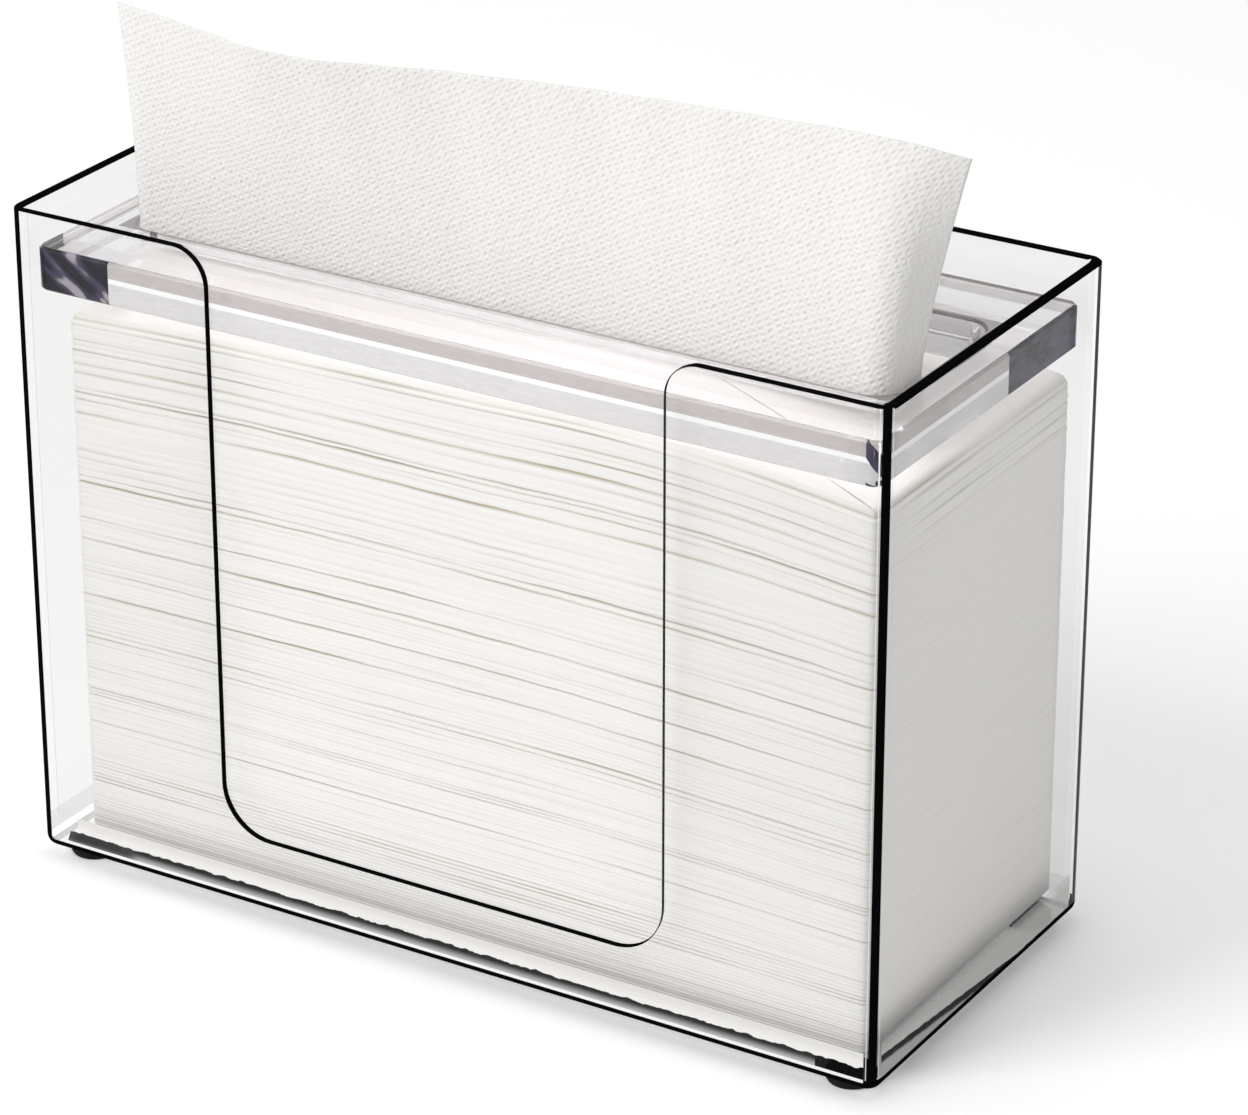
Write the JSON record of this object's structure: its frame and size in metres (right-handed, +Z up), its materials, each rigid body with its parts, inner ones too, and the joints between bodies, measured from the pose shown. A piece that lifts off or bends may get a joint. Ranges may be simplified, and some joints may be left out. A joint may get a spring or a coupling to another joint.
{
  "type": "paper towel dispenser",
  "caption": "Clear open-topped case with a wide hand opening, a slotted press plate that slides down on folded paper towels, and a towel drawn up through the slot.",
  "frame": {"origin": "centre of the footprint, on the surface that the feet stand on", "axes": "+X along the long side, +Y from the hand opening to the back, +Z up"},
  "size_m": [0.255, 0.113, 0.2321],
  "materials": {
    "clear_case": "gloss",
    "clear_plate": "gloss",
    "towel_paper": "matte",
    "foot_rubber": "matte"
  },
  "bodies": {
    "base": {"case": "clear_case", "towel_stack": "towel_paper", "foot_front_left": "foot_rubber", "foot_front_right": "foot_rubber", "foot_back_left": "foot_rubber", "foot_back_right": "foot_rubber"},
    "plate": {"press_plate": "clear_plate", "top_towel": "towel_paper"}
  },
  "joints": [
    {"name": "plate_lift", "type": "slide", "parent": "base", "child": "plate", "axis": [0, 0, 1], "range_m": [0, 0.03]}
  ]
}
